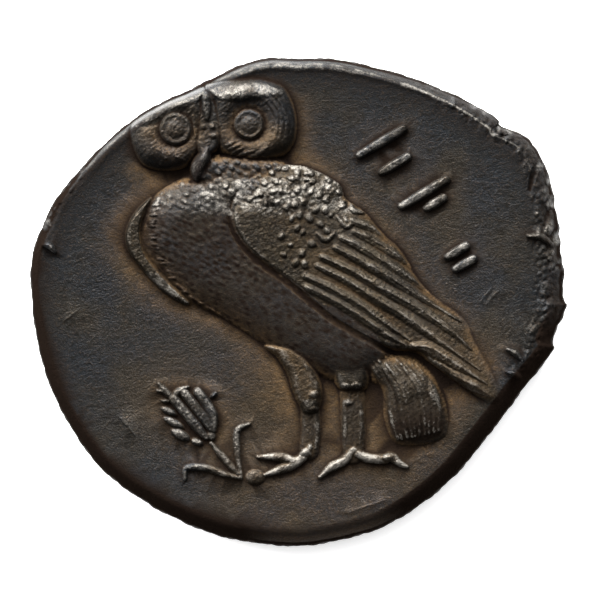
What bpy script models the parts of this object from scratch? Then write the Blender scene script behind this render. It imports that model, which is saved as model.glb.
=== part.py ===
"""An ancient silver coin, struck by hand, lying on its underside.

The face turned up shows an owl that stands to the left and looks out, an ear of barley
beside its feet and three groups of short strokes. The underside carries a worn ear
of barley inside a plain border line. The whole coin is one struck piece of silver.
Up in the picture is +Y and the underside's worn tops lie at z = 0.
"""

import math

import bmesh
import bpy
import numpy as np

for item in list(bpy.data.objects):
    bpy.data.objects.remove(item, do_unlink=True)

# Sizes of the flan, the blank that was struck, in metres
COIN_LENGTH = 0.0161  # left to right, the longest way across
COIN_WIDTH = 0.01468  # top to bottom
FIELD_THICKNESS = 0.00120  # from the table to the field around the owl
FIELD_DISH = 0.00010  # how far the middle of the field lies below its rim
FIELD_WAVE = 0.000012  # unevenness of the hand-struck field
SIDE_BAND = 0.00036  # height of the upright band around the edge
SIDE_BULGE = 0.00005  # how far the middle of that band stands out
RIM_LIP = 0.000035  # height of the thin lip along the upper rim
RIM_LIP_INSET = 0.00027  # from the edge to the middle of that lip
RIM_LIP_WIDTH = 0.00010  # half the width of that lip
EDGE_SLOPE = 0.00036  # how far the rounded edge reaches into the face, on average
UNDER_EDGE_SLOPE = 0.00050  # the same on the underside

# Sizes of the owl's relief, in metres
OWL_HEIGHT = 0.0118  # from the crown to the claws; every place on the face follows it
BODY_RISE = 0.00042  # above the field
WING_RISE = 0.00052
WING_TIP_RISE = 0.00026
HEAD_RISE = 0.00046
FAR_WING_RISE = 0.00020
THIGH_RISE = 0.00027
TAIL_RISE = 0.00030
SHANK_RISE = 0.00011
TOE_RISE = 0.00015
BEAK_RISE = 0.00050
BRIDGE_RISE = 0.00040  # the ridge between the lobes, above the beak
NECK_RISE = 0.00030
BROW_RISE = 0.00010
EYE_HOLLOW = 0.00018  # depth of the hollow around an eye
EYE_RISE = 0.00013  # the ball above the hollow
PUPIL_RISE = 0.00005  # the small dome on the ball
BEAD_RISE = 0.00007  # the small round feathers on the shoulder
QUILL_RISE = 0.00008  # the long feathers of the wing
CUT_DEPTH = 0.00008  # the groove between wing and body

# Sizes of the things beside the owl, in metres
GRAIN_RISE = 0.00017  # the long grains of the ear
SMALL_GRAIN_RISE = 0.00012
STALK_RISE = 0.00011
STROKE_RISE = 0.00018
CRACK_DEPTH = 0.00010

# Sizes of the underside, in metres
UNDER_FIELD = 0.00010  # how far the underside's field lies above the table
UNDER_RISE = 0.00014  # how high its relief stood before it wore down to the table
BORDER_RADIUS = 0.0062
BORDER_WIDTH = 0.00022  # half the width of the border line
UNDER_EAR_LENGTH = 0.0062

# Places on the face are counted in steps from the middle of the coin, 1180 to the owl's height
STEP = OWL_HEIGHT / 1180
FACE_CELLS = 330  # squares along one side of the net that becomes a face
TRIANGLES = 9400  # what the finished coin keeps

# The flan's outline, going round clockwise from the upper left
FLAN = [
    (-296, 654), (-134, 726), (4, 732), (124, 728), (304, 686), (470, 623), (596, 552), (610, 531),
    (694, 487), (756, 375), (783, 214), (798, 96), (796, 8), (805, -19),
    (766, -117), (764, -149), (694, -240), (477, -516), (304, -651), (170, -705), (-28, -734),
    (-296, -684), (-574, -519), (-729, -294), (-790, -92), (-805, 93), (-784, 195), (-704, 344),
    (-506, 543),
]
# How wide the rounded edge is at twelve places, as shares of EDGE_SLOPE, from the right over the top
EDGE_SHARES = [1.7, 1.3, 0.9, 0.65, 0.6, 0.55, 0.55, 0.8, 1.1, 1.4, 1.5, 1.6]

# The owl's head: two swollen lobes that meet in a crest above the beak
HEAD_LEFT = [
    (-496, 540), (-446, 576), (-368, 618), (-286, 648), (-262, 606), (-260, 516), (-278, 456), (-320, 411),
    (-368, 393), (-424, 393), (-470, 411), (-496, 453), (-506, 501),
]
HEAD_RIGHT = [
    (-284, 642), (-254, 658), (-176, 669), (-104, 669), (-46, 648), (-16, 600), (-3, 540), (-10, 480),
    (-40, 438), (-100, 412), (-164, 417), (-224, 432), (-260, 468), (-278, 546),
]
HEAD_ROLL = 65
LEFT_EYE = (-368, 518)
RIGHT_EYE = (-148, 532)
EYE_RADII = (49, 46)  # left and right ball
PUPIL_RADII = (26, 25)
HOLLOW_RADIUS = 70
LEFT_BROW = [(-482, 540), (-440, 564), (-392, 588), (-344, 609), (-298, 621)]
RIGHT_BROW = [(-250, 624), (-190, 633), (-122, 642), (-58, 633)]
CREST = [(-284, 642), (-278, 612), (-274, 576), (-274, 549)]
BROW_WIDTH = 30
CREST_WIDTH = 14
BEAK = [
    (-268, 489), (-254, 462), (-256, 426), (-272, 393), (-286, 363), (-303, 352), (-320, 363),
    (-328, 390), (-326, 417), (-308, 447),
]
BEAK_ROLL = 26
BRIDGE = [
    (-298, 618), (-278, 636), (-248, 621), (-230, 570), (-220, 510), (-232, 462), (-260, 435), (-296, 432),
    (-316, 468), (-316, 522), (-308, 576),
]
BRIDGE_ROLL = 22

# The body, down over the breast and belly, and the edge of the far wing in front of it
BODY = [
    (-386, 354), (-428, 324), (-460, 282), (-476, 222), (-470, 156), (-430, 96), (-380, 45),
    (-326, -3), (-230, -48), (-122, -117), (-50, -165), (34, -210), (140, -249), (220, -228),
    (280, -174), (304, -84), (184, 66), (94, 231), (4, 366), (-110, 420), (-236, 426),
    (-326, 384),
]
BODY_ROLL = 105  # from the edge of a swollen shape to its full height
NECK = [
    (-320, 396), (-278, 444), (-110, 444), (-32, 420), (-2, 366), (-86, 312), (-230, 300), (-308, 318),
]
NECK_ROLL = 40
FAR_WING = [
    (-440, 315), (-478, 288), (-508, 246), (-522, 198), (-512, 150), (-477, 102), (-438, 57), (-398, 21),
    (-338, -12), (-328, 6), (-376, 54), (-422, 102), (-458, 153), (-470, 219), (-454, 270),
]
FAR_WING_ROLL = 14

# The near wing: its front edge from the shoulder down to the tip, and its back edge
WING_FRONT = [
    (-182, 333), (-204, 288), (-207, 246), (-194, 204), (-160, 156), (-110, 111), (-38, 60),
    (56, -18), (110, -60), (232, -129), (284, -148), (350, -153), (386, -177), (458, -231),
    (530, -282), (584, -312),
]
WING_BACK = [
    (-182, 333), (-140, 375), (-92, 402), (-26, 412), (40, 399), (122, 354), (140, 312),
    (202, 267), (260, 201), (310, 156), (382, 42), (494, -45), (532, -120), (584, -216),
    (608, -285), (584, -312),
]
QUILLS = [
    [(160, 243), (220, 225), (262, 198), (304, 165)],
    [(170, 210), (220, 189), (290, 147), (352, 96)],
    [(130, 192), (184, 168), (260, 120), (350, 63), (440, 0)],
    [(112, 162), (190, 123), (274, 75), (364, 18), (490, -60)],
    [(70, 135), (154, 96), (260, 36), (350, -12), (454, -84), (520, -144)],
    [(58, 108), (154, 60), (238, 6), (320, -42), (424, -117), (544, -204)],
    [(20, 78), (94, 42), (184, -9), (256, -60), (334, -114)],
    [(26, 45), (110, 3), (190, -45), (260, -93), (320, -129)],
    [(344, -132), (394, -138), (484, -192), (566, -246)],
    [(388, -177), (470, -225), (530, -252), (574, -282)],
]
QUILL_WIDTH = 19
QUILL_ENDS = (0.6, 0.15)  # shares of the width that are left at a quill's two ends
SHOULDER = (-116, 261)  # where the wing stands highest
FRONT_ROLL = 22
BACK_ROLL = 120
BACK_STEP = 0.25  # share of that roll which is a sharp step down to the field at the shoulder
BLUNT_PART = 0.32  # share of the wing's length along which that step dies away
GROOVE_WIDTH = 12
BEAD_ROWS = [
    [(-158, 366), (-40, 399), (86, 366)],
    [(-176, 336), (-26, 372), (118, 327)],
    [(-154, 309), (-8, 342), (128, 288)],
    [(-104, 297), (16, 294), (142, 246)],
    [(-32, 279), (34, 252), (86, 210)],
    [(-26, 246), (4, 213), (34, 177)],
    [(-44, 192), (-20, 165), (16, 147)],
    [(-40, 144), (-10, 117), (16, 111)],
]
THROAT_ROWS = [[(-404, 348), (-326, 327), (-218, 336)], [(-416, 309), (-332, 291), (-230, 297)]]
BEAD_RADIUS = 13
BEAD_PITCH = 28
SCALE_TIPS = [[(56, 204), (80, 186), (106, 204)], [(116, 255), (142, 228), (166, 240)],
              [(156, 294), (166, 276), (196, 267)]]
TIP_WIDTH = 10

# Tail, thighs, shanks and toes
TAIL = [
    (248, -264), (256, -354), (286, -420), (350, -432), (418, -417), (448, -384), (446, -312),
    (418, -234), (364, -174), (290, -150), (220, -144), (190, -180), (208, -234),
]
TAIL_ROLL = 80
TAIL_LINES = [
    [(220, -180), (280, -270), (296, -402)], [(256, -180), (320, -279), (328, -417)],
    [(296, -192), (352, -279), (362, -420)], [(328, -198), (386, -279), (394, -414)],
    [(364, -210), (416, -279), (428, -396)],
]
LEFT_THIGH = [
    (-104, -129), (-68, -168), (-38, -216), (-22, -264), (-4, -306), (14, -339), (40, -345),
    (64, -324), (74, -276), (64, -222), (34, -162), (-26, -120),
]
RIGHT_THIGH = [
    (82, -168), (100, -228), (122, -264), (160, -273), (202, -264), (218, -216), (208, -150),
    (140, -132),
]
THIGH_ROLL = 32
LEFT_SHANK = [(34, -318), (38, -384), (32, -444)]
RIGHT_SHANK = [(160, -252), (164, -354), (164, -456)]
SHANK_WIDTHS = (30, 38)  # half the width of the left and the right one
TOES = [
    [(34, -435), (-4, -477), (-56, -465), (-122, -465)],
    [(28, -450), (-8, -483), (-52, -501), (-100, -519)],
    [(166, -444), (134, -477), (100, -495), (64, -525)],
    [(166, -450), (208, -468), (254, -471), (278, -465), (302, -483), (326, -495)],
]
TOE_WIDTH = 16

# The ear of barley: small grains as middle, length, width and lean, then long grains and stalks as lines
SMALL_GRAINS = [
    ((-388, -328), 27, 12, -24), ((-374, -362), 36, 13, -28), ((-354, -398), 33, 16, -28),
    ((-412, -268), 16, 7, -15), ((-400, -297), 14, 6, -5), ((-254, -279), 14, 8, 40),
    ((-262, -400), 15, 18, 0), ((-304, -420), 20, 12, -20),
]
LONG_GRAINS = [
    [(-374, -291), (-338, -333), (-304, -375), (-278, -405)],
    [(-340, -276), (-314, -309), (-284, -348), (-262, -384)],
    [(-302, -270), (-278, -303), (-256, -345), (-256, -384)],
]
LONG_GRAIN_WIDTH = 17
STALKS = [
    [(-262, -423), (-232, -459), (-200, -495), (-172, -528)],
    [(-148, -366), (-176, -378), (-186, -402), (-182, -462), (-172, -525)],
    [(-340, -531), (-334, -498), (-274, -498), (-224, -516), (-172, -528)],
    [(-418, -246), (-398, -270), (-368, -297)],
    [(-382, -294), (-362, -270), (-332, -255)],
]
STALK_WIDTH = 12
PEBBLE = ((-130, -525), 30, 24, 0)

# Strokes at the upper right, in place of writing
STROKES = [
    [(184, 441), (314, 519)], [(250, 390), (326, 435)], [(310, 288), (442, 366)],
    [(386, 282), (434, 312)], [(448, 135), (502, 168)], [(472, 99), (524, 129)],
]
STROKE_WIDTH = 15

# Marks of the hammer at the rim: cracks, and metal pushed up into small folds
CRACKS = [
    [(748, 432), (712, 396), (694, 336)], [(784, 291), (752, 270), (740, 228)],
    [(802, 120), (764, 96)], [(-716, 291), (-752, 222), (-788, 156)], [(614, 540), (596, 510)],
]
FOLDS = [
    [(688, 198), (728, 195), (764, 171)], [(626, -141), (650, -153), (668, -174)],
    [(626, -210), (646, -216), (664, -228)], [(-766, 171), (-746, 168), (-730, 150)],
    [(598, 525), (622, 504)],
]
MARK_WIDTH = 11


def smooth_line(points, closed=False, parts=6):
    """The points of a smooth line through the given ones."""
    given = np.array(points, float)
    if closed:
        held = np.vstack([given[-1:], given, given[:2]])
    else:
        held = np.vstack([2 * given[0] - given[1], given, 2 * given[-1] - given[-2]])
    made = []
    for before, start, end, after in zip(held[:-3], held[1:-2], held[2:-1], held[3:]):
        for part in range(parts):
            t = part / parts
            made.append(
                start
                + (end - before) * t / 2
                + (2 * before - 5 * start + 4 * end - after) * t**2 / 2
                + (3 * start - before - 3 * end + after) * t**3 / 2
            )
    if not closed:
        made.append(given[-1])
    return np.array(made)


def nearest(line, x, y):
    """For every place, its distance from a line and how far along the line that is."""
    best = np.full(x.shape, np.inf)
    along = np.zeros(x.shape)
    for number, ((ax, ay), (bx, by)) in enumerate(zip(line[:-1], line[1:])):
        dx = bx - ax
        dy = by - ay
        t = np.clip(((x - ax) * dx + (y - ay) * dy) / (dx * dx + dy * dy), 0, 1)
        apart = (x - ax - t * dx) ** 2 + (y - ay - t * dy) ** 2
        closer = apart < best
        best = np.where(closer, apart, best)
        along = np.where(closer, number + t, along)
    return np.sqrt(best), along / (len(line) - 1)


def inside(line, x, y):
    """Which places lie inside a closed line."""
    odd = np.zeros(x.shape, bool)
    for (ax, ay), (bx, by) in zip(line, np.roll(line, -1, axis=0)):
        if ay != by:
            crosses = ((ay > y) != (by > y)) & (x < ax + (y - ay) * (bx - ax) / (by - ay))
            odd ^= crosses
    return odd


def swell(share):
    """A rounded rise from 0 at an edge to 1 where share reaches 1."""
    return np.sin(np.clip(share, 0, 1) * math.pi / 2) ** 0.8


def around(line, reach, x, y):
    """Which places lie in the box around a line, widened by reach."""
    low = line.min(axis=0) - reach
    high = line.max(axis=0) + reach
    return (x > low[0]) & (x < high[0]) & (y > low[1]) & (y < high[1])


def pillow(points, rise, roll, x, y):
    """A swollen shape inside a closed outline, full height at the distance roll from its edge."""
    line = smooth_line(points, closed=True)
    height = np.zeros(x.shape)
    near = around(line, 0, x, y)
    apart, _ = nearest(np.vstack([line, line[:1]]), x[near], y[near])
    height[near] = np.where(inside(line, x[near], y[near]), rise * swell(apart / roll), 0)
    return height


def ridge(points, rise, width, x, y, ends=(0.5, 0.5), fullness=2):
    """A ridge along a line, narrowed at its two ends to the given shares; more fullness, flatter top."""
    line = smooth_line(points)
    height = np.zeros(x.shape)
    near = around(line, width, x, y)
    apart, along = nearest(line, x[near], y[near])
    share = np.interp(along, (0, 0.35, 0.65, 1), (ends[0], 1, 1, ends[1]))
    height[near] = rise * np.sqrt(share * np.clip(1 - (apart / (width * share)) ** fullness, 0, 1))
    return height


def grain(middle, length, width, lean, rise, x, y):
    """A rounded oval of half-length and half-width, leaning by an angle in degrees."""
    turn = math.radians(lean)
    dx = x - middle[0]
    dy = y - middle[1]
    along = (dx * math.cos(turn) + dy * math.sin(turn)) / length
    across = (dy * math.cos(turn) - dx * math.sin(turn)) / width
    return rise * np.sqrt(np.clip(1 - along**2 - across**2, 0, 1))


def highest(shapes):
    """The highest of several shapes at every place."""
    return np.maximum.reduce(list(shapes))


def beads(rows, radius, rise, x, y):
    """Small round feathers spaced evenly along rows."""
    shapes = []
    for points in rows:
        line = smooth_line(points)
        count = int(np.hypot(*np.diff(line, axis=0).T).sum() / BEAD_PITCH) + 1
        for place in np.linspace(0, len(line) - 1, count):
            spot = line[int(round(place))]
            shapes.append(grain(spot, radius, radius, 0, rise, x, y))
    return highest(shapes)


def head_relief(x, y):
    """The owl's head with brows, crest, eyes and beak."""
    lobes = highest(pillow(points, HEAD_RISE, HEAD_ROLL, x, y) for points in (HEAD_LEFT, HEAD_RIGHT))
    head = np.maximum(lobes, pillow(BRIDGE, BRIDGE_RISE, BRIDGE_ROLL, x, y))
    on_head = np.clip(head / (0.5 * HEAD_RISE), 0, 1)
    brows = highest(ridge(points, BROW_RISE, BROW_WIDTH, x, y) for points in (LEFT_BROW, RIGHT_BROW))
    crest = ridge(CREST, BROW_RISE, CREST_WIDTH, x, y)
    added = np.maximum(brows, crest)
    for eye, ball, pupil in zip((LEFT_EYE, RIGHT_EYE), EYE_RADII, PUPIL_RADII):
        apart = np.hypot(x - eye[0], y - eye[1])
        added = added - EYE_HOLLOW * np.exp(-((apart / HOLLOW_RADIUS) ** 4))
        added = added + EYE_RISE * np.sqrt(np.clip(1 - (apart / ball) ** 3, 0, 1))
        added = added + PUPIL_RISE * np.sqrt(np.clip(1 - (apart / pupil) ** 2, 0, 1))
    return np.maximum(head + on_head * added, pillow(BEAK, BEAK_RISE, BEAK_ROLL, x, y))


def wing_relief(x, y):
    """The near wing: high along its front edge, falling away to the tip and the back."""
    front = smooth_line(WING_FRONT)
    back = smooth_line(WING_BACK)
    edge = np.vstack([back, front[::-1][1:-1]])
    near = around(edge, 0, x, y)
    from_front, _ = nearest(front, x[near], y[near])
    from_back, _ = nearest(back, x[near], y[near])
    within = inside(edge, x[near], y[near])
    axis = np.subtract(WING_FRONT[-1], SHOULDER)
    along = ((x[near] - SHOULDER[0]) * axis[0] + (y[near] - SHOULDER[1]) * axis[1]) / axis.dot(axis)
    rise = WING_RISE + (WING_TIP_RISE - WING_RISE) * np.clip(along, 0, 1)
    to_back = np.clip(from_back / BACK_ROLL, 0, 1)
    blunt = np.clip(1 - along / BLUNT_PART, 0, 1)
    back_fall = blunt * swell(to_back + BACK_STEP) + (1 - blunt) * to_back * (2 - to_back)
    wing = np.zeros(x.shape)
    wing[near] = np.where(within, rise * swell(from_front / FRONT_ROLL) * back_fall, 0)
    on_wing = np.clip(wing / (0.25 * WING_TIP_RISE), 0, 1)
    quills = highest(ridge(points, QUILL_RISE, QUILL_WIDTH, x, y, QUILL_ENDS) for points in QUILLS)
    tips = highest(ridge(points, BEAD_RISE, TIP_WIDTH, x, y) for points in SCALE_TIPS)
    covered = beads(BEAD_ROWS, BEAD_RADIUS, BEAD_RISE, x, y)
    return wing + on_wing * highest([quills, tips, covered])


def leg_relief(x, y):
    """Thighs, shanks and toes."""
    pair = (LEFT_THIGH, RIGHT_THIGH)
    thighs = highest(pillow(points, THIGH_RISE, THIGH_ROLL, x, y) for points in pair)
    left = ridge(LEFT_SHANK, SHANK_RISE, SHANK_WIDTHS[0], x, y, ends=(1, 1))
    right = ridge(RIGHT_SHANK, SHANK_RISE, SHANK_WIDTHS[1], x, y, ends=(1, 0.8))
    toes = highest(ridge(points, TOE_RISE, TOE_WIDTH, x, y, ends=(1, 0.4)) for points in TOES)
    return highest([thighs, left, right, toes])


def owl_relief(x, y):
    """The whole owl above the field."""
    neck = pillow(NECK, NECK_RISE, NECK_ROLL, x, y)
    body = np.maximum(pillow(BODY, BODY_RISE, BODY_ROLL, x, y), neck)
    throat = beads(THROAT_ROWS, BEAD_RADIUS, BEAD_RISE, x, y)
    body = body + np.clip(body / (0.3 * BODY_RISE), 0, 1) * throat
    far_wing = pillow(FAR_WING, FAR_WING_RISE, FAR_WING_ROLL, x, y)
    tail = pillow(TAIL, TAIL_RISE, TAIL_ROLL, x, y)
    lines = highest(ridge(points, QUILL_RISE, QUILL_WIDTH, x, y) for points in TAIL_LINES)
    tail = tail + np.clip(tail / (0.5 * TAIL_RISE), 0, 1) * lines
    groove = ridge(WING_FRONT, CUT_DEPTH, GROOVE_WIDTH, x, y, ends=(0.6, 0.2))
    under_wing = highest([body, far_wing, tail, leg_relief(x, y)]) - groove
    return highest([under_wing, wing_relief(x, y), head_relief(x, y), np.zeros(x.shape)])


def side_relief(x, y):
    """The ear of barley, the strokes and the folds at the rim."""
    small_grains = highest(grain(*one, SMALL_GRAIN_RISE, x, y) for one in SMALL_GRAINS)
    long_grains = highest(
        ridge(points, GRAIN_RISE, LONG_GRAIN_WIDTH, x, y, ends=(0.9, 0.6), fullness=3)
        for points in LONG_GRAINS
    )
    stalks = highest(ridge(points, STALK_RISE, STALK_WIDTH, x, y) for points in STALKS)
    pebble = grain(*PEBBLE, STALK_RISE, x, y)
    strokes = highest(
        ridge(points, STROKE_RISE, STROKE_WIDTH, x, y, ends=(0.8, 0.9), fullness=4) for points in STROKES
    )
    folds = highest(ridge(points, STROKE_RISE, MARK_WIDTH, x, y) for points in FOLDS)
    return highest([small_grains, long_grains, stalks, pebble, strokes, folds])


def edge_reach(turn):
    """How far the rounded edge reaches into the face at each angle round the coin."""
    places = np.arange(len(EDGE_SHARES) + 1) * 2 * math.pi / len(EDGE_SHARES)
    return EDGE_SLOPE * np.interp(turn % (2 * math.pi), places, EDGE_SHARES + EDGE_SHARES[:1])


def face_height(x, y, round_share, turn, from_edge):
    """Height of the upper face above the table, at places given in steps."""
    field = FIELD_THICKNESS - FIELD_DISH * (1 - round_share**2)
    field = field + FIELD_WAVE * (np.sin(x / 130 + 1) * np.cos(y / 170) + np.sin(x / 310 - y / 240))
    upper = np.clip(1.5 * np.sin(turn) - 0.3, 0, 1)
    lip = RIM_LIP * upper * np.exp(-(((from_edge - RIM_LIP_INSET) / RIM_LIP_WIDTH) ** 2))
    cracks = highest(ridge(points, CRACK_DEPTH, MARK_WIDTH, x, y) for points in CRACKS)
    height = field + lip + np.maximum(owl_relief(x, y), side_relief(x, y)) - cracks
    top_of_band = (FIELD_THICKNESS + SIDE_BAND) / 2
    return top_of_band + (height - top_of_band) * swell(from_edge / edge_reach(turn))


def under_height(x, y, from_edge):
    """Height of the underside above the table: worn relief inside a border, at places in metres."""
    half = UNDER_EAR_LENGTH / 2
    grains = [grain((0, 0), half, 0.28 * half, 90, 1.6 * UNDER_RISE, x, y)]
    for row in range(6):
        for side in (-1, 1):
            place = (side * 0.26 * half, (row - 2.2) * 0.3 * half)
            grains.append(grain(place, 0.26 * half, 0.11 * half, 90 - side * 32, 1.3 * UNDER_RISE, x, y))
    stalk = grain((0, -1.3 * half), 0.55 * half, 0.05 * half, 90, UNDER_RISE, x, y)
    apart = np.hypot(x, y) - BORDER_RADIUS
    border = 1.2 * UNDER_RISE * np.sqrt(np.clip(1 - (apart / BORDER_WIDTH) ** 2, 0, 1))
    height = np.maximum(UNDER_FIELD - highest(grains + [stalk, border]), 0)
    foot_of_band = (FIELD_THICKNESS - SIDE_BAND) / 2
    return foot_of_band + (height - foot_of_band) * swell(from_edge / UNDER_EDGE_SLOPE)


# The flan's radius at every angle, with its outline brought to the coin's length and width
flan_line = smooth_line(FLAN, closed=True, parts=8)
flan_low = flan_line.min(axis=0)
flan_high = flan_line.max(axis=0)
flan_line = (flan_line - (flan_low + flan_high) / 2) / (flan_high - flan_low) * (COIN_LENGTH, COIN_WIDTH)
flan_turns = np.arctan2(flan_line[:, 1], flan_line[:, 0])
order = np.argsort(flan_turns)
flan_turns = flan_turns[order]
flan_radii = np.hypot(flan_line[:, 0], flan_line[:, 1])[order]

# A square net, doubled into a closed box with an upright band of three rows between its two faces
BAND_ROWS = 3
net = bmesh.new()
bmesh.ops.create_grid(net, x_segments=FACE_CELLS, y_segments=FACE_CELLS, size=1)
raised = bmesh.ops.extrude_face_region(net, geom=net.faces[:], use_keep_orig=True)
upper_points = [item for item in raised["geom"] if isinstance(item, bmesh.types.BMVert)]
bmesh.ops.translate(net, vec=(0, 0, 1), verts=upper_points)
uprights = [edge for edge in net.edges if abs(edge.verts[0].co.z - edge.verts[1].co.z) > 0.5]
bmesh.ops.subdivide_edges(net, edges=uprights, cuts=BAND_ROWS - 1, use_grid_fill=True)
bmesh.ops.recalc_face_normals(net, faces=net.faces[:])
bmesh.ops.triangulate(net, faces=net.faces[:])
coin_mesh = bpy.data.meshes.new("coin")
net.to_mesh(coin_mesh)
net.free()

# Every point of the net goes to its place: square to round, round to the flan's outline, then its height
places = np.zeros(len(coin_mesh.vertices) * 3, np.float32)
coin_mesh.vertices.foreach_get("co", places)
across, up, level = places.reshape(-1, 3).astype(float).T
disc_x = across * np.sqrt(1 - up**2 / 2)
disc_y = up * np.sqrt(1 - across**2 / 2)
round_share = np.minimum(np.hypot(disc_x, disc_y), 1)
turn = np.arctan2(disc_y, disc_x)
top = level > 0.99
bottom = level < 0.01
band = ~top & ~bottom
radius = np.interp(turn, flan_turns, flan_radii, period=2 * math.pi)
radius[~band] -= SIDE_BULGE
place_x = radius * round_share * np.cos(turn)
place_y = radius * round_share * np.sin(turn)
from_edge = radius * (1 - round_share)

height = np.zeros(len(level))
height[top] = face_height(
    place_x[top] / STEP, place_y[top] / STEP, round_share[top], turn[top], from_edge[top]
)
height[bottom] = under_height(place_x[bottom], place_y[bottom], from_edge[bottom])
height[band] = FIELD_THICKNESS / 2 + (level[band] - 0.5) * SIDE_BAND

# The net is thinned where the metal is smooth, at millimetre size, then brought to metres
MILLIMETRE = 0.001
finished = np.stack([place_x, place_y, height], axis=1) / MILLIMETRE
coin_mesh.vertices.foreach_set("co", finished.astype(np.float32).ravel())
coin_mesh.update()
dense = bpy.data.objects.new("dense net", coin_mesh)
bpy.context.scene.collection.objects.link(dense)
thin = dense.modifiers.new("thin out", "DECIMATE")
thin.decimate_type = "COLLAPSE"
thin.ratio = TRIANGLES / len(coin_mesh.polygons)
thin.use_collapse_triangulate = True
graph = bpy.context.evaluated_depsgraph_get()
coin_body = bpy.data.meshes.new_from_object(dense.evaluated_get(graph))
bpy.data.objects.remove(dense, do_unlink=True)

WORN_FLAT = 0.000006  # heights under this are worn down to the table
SHARPEST_SMOOTH = 28  # degrees; edges sharper than this stay crisp
spots = np.zeros(len(coin_body.vertices) * 3, np.float32)
coin_body.vertices.foreach_get("co", spots)
spots = spots.reshape(-1, 3) * MILLIMETRE
spots[:, 2] = np.where(spots[:, 2] < WORN_FLAT, 0, spots[:, 2])
middle = (spots.min(axis=0) + spots.max(axis=0)) / 2
spots[:, :2] -= middle[:2]
coin_body.vertices.foreach_set("co", spots.ravel())
coin_body.polygons.foreach_set("use_smooth", [True] * len(coin_body.polygons))
coin_body.set_sharp_from_angle(angle=math.radians(SHARPEST_SMOOTH))
coin_body.update()
coin_body.name = "coin"

coin = bpy.data.objects.new("coin", coin_body)
bpy.context.scene.collection.objects.link(coin)

# Silver darkened by age to a warm grey black
silver = bpy.data.materials.new("darkened silver")
silver.use_nodes = True
surface = silver.node_tree.nodes["Principled BSDF"]
surface.inputs["Base Color"].default_value = (0.085, 0.076, 0.066, 1)
surface.inputs["Metallic"].default_value = 0.85
surface.inputs["Roughness"].default_value = 0.4
coin_body.materials.clear()
coin_body.materials.append(silver)
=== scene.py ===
"""The looks of an ancient silver coin that lies on its underside, seen from straight above."""

import math

import bmesh
import bpy
import numpy as np
from mathutils import Matrix, Vector


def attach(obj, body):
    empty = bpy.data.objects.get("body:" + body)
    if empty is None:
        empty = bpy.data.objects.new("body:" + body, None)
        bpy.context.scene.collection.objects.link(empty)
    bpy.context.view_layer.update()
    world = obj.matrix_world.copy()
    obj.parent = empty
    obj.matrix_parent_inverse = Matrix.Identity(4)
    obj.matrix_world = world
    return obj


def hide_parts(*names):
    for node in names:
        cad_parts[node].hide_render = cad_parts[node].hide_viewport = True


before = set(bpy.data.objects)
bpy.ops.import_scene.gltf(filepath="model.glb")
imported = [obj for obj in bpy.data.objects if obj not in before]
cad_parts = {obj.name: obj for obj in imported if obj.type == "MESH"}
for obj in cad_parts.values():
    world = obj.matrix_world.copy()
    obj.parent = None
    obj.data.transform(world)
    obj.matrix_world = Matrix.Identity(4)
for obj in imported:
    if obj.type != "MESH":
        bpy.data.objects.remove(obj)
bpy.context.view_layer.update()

# The coin. One blank of silver, cast as a flat drop and struck hot between two dies, so the owl,
# the ear of barley and the strokes stand up from the same metal. Age has darkened it; handling
# has worn the high places bright, and brown dirt has stayed around the relief.

# The blank: its size, its edge and the unevenness left by the hammer
COIN_LENGTH = 0.0161
COIN_WIDTH = 0.01468
FIELD_THICKNESS = 0.00120
FIELD_DISH = 0.00010
FIELD_WAVE = 0.000012
SIDE_BAND = 0.00036
SIDE_BULGE = 0.00005
SIDE_ROUGHNESS = 0.000025
NIBBLE_DEPTH = 0.000012
RIM_LIP = 0.000035
RIM_LIP_INSET = 0.00027
RIM_LIP_WIDTH = 0.00009
EDGE_SLOPE = 0.00036
EDGE_SHARES = [1.7, 1.3, 0.9, 0.65, 0.6, 0.55, 0.55, 0.8, 1.1, 1.4, 1.5, 1.6]
FLAN = [
    (-296, 654), (-134, 726), (4, 732), (124, 728), (304, 686), (470, 623), (596, 552), (610, 531),
    (694, 487), (756, 375), (783, 214), (798, 96), (796, 8), (805, -19),
    (766, -117), (764, -149), (694, -240), (477, -516), (304, -651), (170, -705), (-28, -734),
    (-296, -684), (-574, -519), (-729, -294), (-790, -92), (-805, 93), (-784, 195), (-704, 344),
    (-506, 543),
]

# Places on the face are counted in steps from the middle of the coin, 1180 to the owl's height
OWL_HEIGHT = 0.0118
STEP = OWL_HEIGHT / 1180


def smooth_line(points, closed=False, parts=6):
    """The points of a smooth line through the given ones."""
    given = np.array(points, float)
    if closed:
        held = np.vstack([given[-1:], given, given[:2]])
    else:
        held = np.vstack([2 * given[0] - given[1], given, 2 * given[-1] - given[-2]])
    made = []
    for before, start, end, after in zip(held[:-3], held[1:-2], held[2:-1], held[3:]):
        for part in range(parts):
            t = part / parts
            made.append(
                start
                + (end - before) * t / 2
                + (2 * before - 5 * start + 4 * end - after) * t**2 / 2
                + (3 * start - before - 3 * end + after) * t**3 / 2
            )
    if not closed:
        made.append(given[-1])
    return np.array(made)


# A square net of small cells becomes the round face: its places first, then relief is laid on it
FACE_CELLS = 520
flan_line = smooth_line(FLAN, closed=True, parts=8)
flan_low = flan_line.min(axis=0)
flan_high = flan_line.max(axis=0)
flan_line = (flan_line - (flan_low + flan_high) / 2) / (flan_high - flan_low)
flan_line = flan_line * (COIN_LENGTH, COIN_WIDTH)
flan_turns = np.arctan2(flan_line[:, 1], flan_line[:, 0])
order = np.argsort(flan_turns)
flan_turns = flan_turns[order]
flan_radii = np.hypot(flan_line[:, 0], flan_line[:, 1])[order]

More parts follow.
